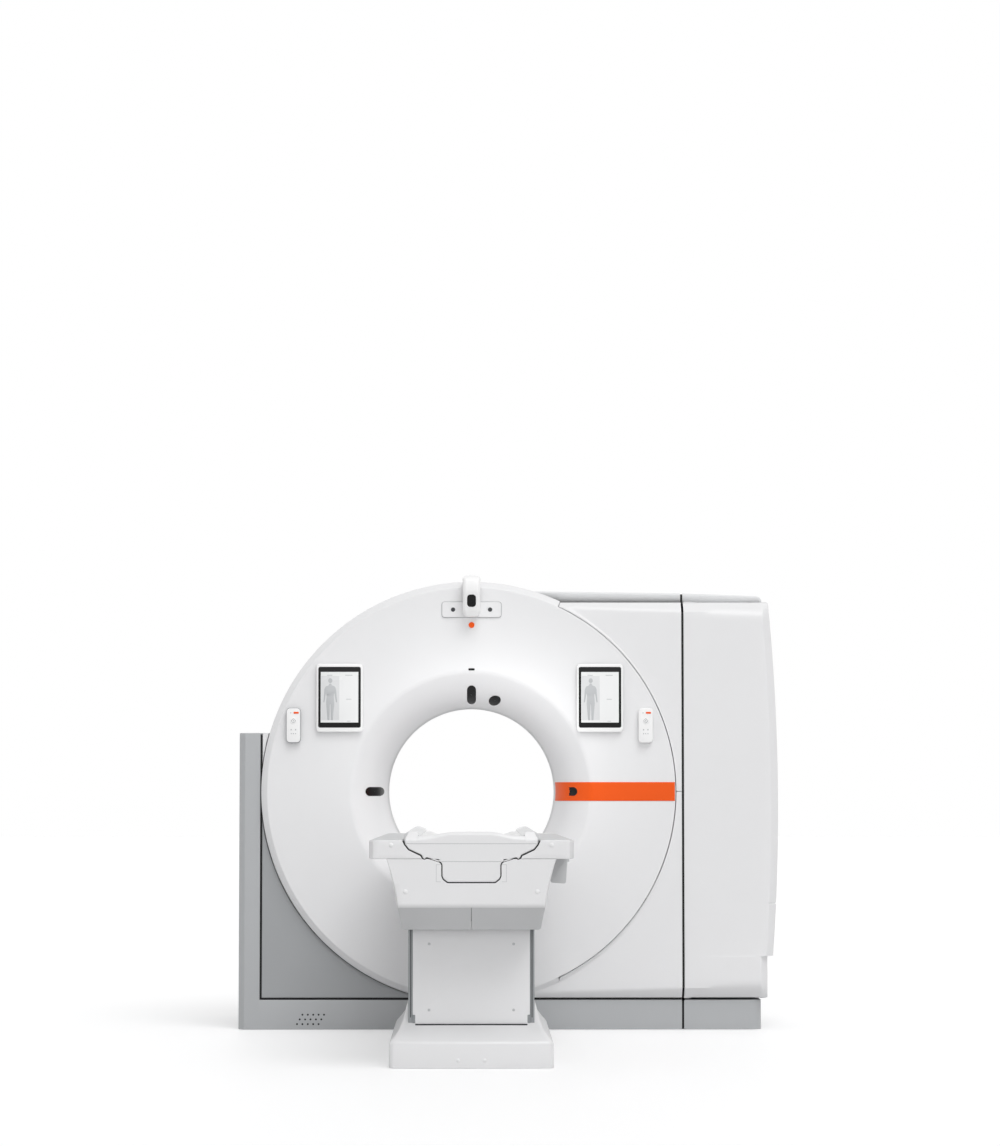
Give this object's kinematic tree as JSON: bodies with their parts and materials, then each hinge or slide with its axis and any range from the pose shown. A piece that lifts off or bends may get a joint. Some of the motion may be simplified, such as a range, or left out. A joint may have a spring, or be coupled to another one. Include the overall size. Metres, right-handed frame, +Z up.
{
  "type": "ct scanner",
  "caption": "Ring-shaped scanner gantry with a side cabinet and a lifting patient table whose padded top slides into the bore.",
  "frame": {"origin": "on the floor straight below the middle of the scan axis", "axes": "+X to the right seen from the table, +Y from the table into the gantry, +Z up"},
  "size_m": [2.2119, 3.047, 1.855],
  "materials": {
    "cover_white": "satin moulded cover",
    "cover_grey": "satin grey paint",
    "top_grey": "satin light grey",
    "window_ring": "smooth light plastic",
    "seal_black": "matte",
    "accent_orange": "satin",
    "dark_window": "polished",
    "device_white": "satin",
    "screen": "glossy screen",
    "pad_grey": "matte",
    "frame_steel": "painted steel",
    "stage_grey": "satin",
    "bearing_steel": "ground",
    "copper_ring": "machined",
    "inner_dark": "matte",
    "motor_grey": "painted",
    "belt_rubber": "matte",
    "housing_light": "satin",
    "detector_steel": "painted",
    "cradle_grey": "satin",
    "mattress_white": "coated fabric"
  },
  "bodies": {
    "gantry": {"base_frame": "frame_steel", "left_frame_cover": "cover_grey", "left_lower_panel": "cover_grey", "left_upper_panel": "cover_white", "front_cover": "cover_white", "gap_seal": "seal_black", "right_panel_lower": "cover_white", "right_panel_upper": "cover_white", "cabinet_cover": "cover_white", "cabinet_plinth": "cover_grey", "top_cover": "top_grey", "cabinet_lid": "top_grey", "drum_cover": "cover_white", "rear_cover": "cover_white", "scan_window": "window_ring", "side_band": "accent_orange", "laser_windows": "dark_window", "camera_bracket": "cover_white", "camera_housing": "cover_white", "camera_lens": "dark_window", "status_light": "accent_orange", "wall_holders": "cover_white", "tablet_left": "device_white", "tablet_left_glass": "screen", "tablet_right": "device_white", "tablet_right_glass": "screen", "remote_left": "device_white", "remote_right": "device_white", "stator_frame": "frame_steel", "bearing_outer_ring": "bearing_steel", "brush_block": "inner_dark", "drive_motor": "motor_grey", "drive_belt": "belt_rubber", "table_base_frame": "frame_steel", "table_base_cover": "cover_white", "floor_duct": "cover_grey"},
    "motor_shaft": {"motor_pulley": "bearing_steel"},
    "rotor": {"rotor_drum": "frame_steel", "bearing_inner_ring": "bearing_steel", "slip_ring": "copper_ring", "xray_tube": "housing_light", "collimator": "frame_steel", "generator": "housing_light", "detector_arc": "detector_steel", "counterweight": "frame_steel"},
    "left_pad": {"remote_left_pad": "pad_grey"},
    "left_key": {"remote_left_key": "accent_orange"},
    "right_pad": {"remote_right_pad": "pad_grey"},
    "right_key": {"remote_right_key": "accent_orange"},
    "stage": {"pedestal_stage": "stage_grey", "pedestal_plate": "top_grey"},
    "lift": {"table_body_cover": "cover_white", "table_wings": "cover_white", "table_skirt": "top_grey", "lift_frame": "frame_steel", "side_pocket": "cover_grey"},
    "roller": {"support_roller": "bearing_steel"},
    "tabletop": {"cradle": "cradle_grey", "end_cap": "cover_white", "mattress": "mattress_white"}
  },
  "joints": [
    {"name": "rotor_spin", "type": "hinge", "parent": "gantry", "child": "rotor", "pos_m": [0, 0, 0.97], "axis": [0, 1, 0], "continuous": true},
    {"name": "pulley_spin", "type": "hinge", "parent": "gantry", "child": "motor_shaft", "pos_m": [0.64, 0, 0.33], "axis": [0, 1, 0], "continuous": true},
    {"name": "table_lift", "type": "slide", "parent": "gantry", "child": "lift", "axis": [0, 0, 1], "range_m": [-0.25, 0.04]},
    {"name": "stage_lift", "type": "slide", "parent": "gantry", "child": "stage", "axis": [0, 0, 1], "range_m": [-0.125, 0.02]},
    {"name": "tabletop_travel", "type": "slide", "parent": "lift", "child": "tabletop", "axis": [0, 1, 0], "range_m": [0, 1.6]},
    {"name": "roller_spin", "type": "hinge", "parent": "lift", "child": "roller", "pos_m": [0, -0.69, 0.7127], "axis": [1, 0, 0], "range_deg": [-3700, 0]},
    {"name": "left_pad_press", "type": "slide", "parent": "gantry", "child": "left_pad", "axis": [0, 1, 0], "range_m": [0, 0.001], "stiffness_N_per_m": 2000},
    {"name": "left_key_press", "type": "slide", "parent": "gantry", "child": "left_key", "axis": [0, 1, 0], "range_m": [0, 0.001], "stiffness_N_per_m": 2000},
    {"name": "right_pad_press", "type": "slide", "parent": "gantry", "child": "right_pad", "axis": [0, 1, 0], "range_m": [0, 0.001], "stiffness_N_per_m": 2000},
    {"name": "right_key_press", "type": "slide", "parent": "gantry", "child": "right_key", "axis": [0, 1, 0], "range_m": [0, 0.001], "stiffness_N_per_m": 2000}
  ],
  "couplings": [
    {"joint": "pulley_spin", "follows": "rotor_spin", "ratio": 13.333},
    {"joint": "stage_lift", "follows": "table_lift", "ratio": 0.5},
    {"joint": "roller_spin", "follows": "tabletop_travel", "rad_per_m": -40}
  ]
}
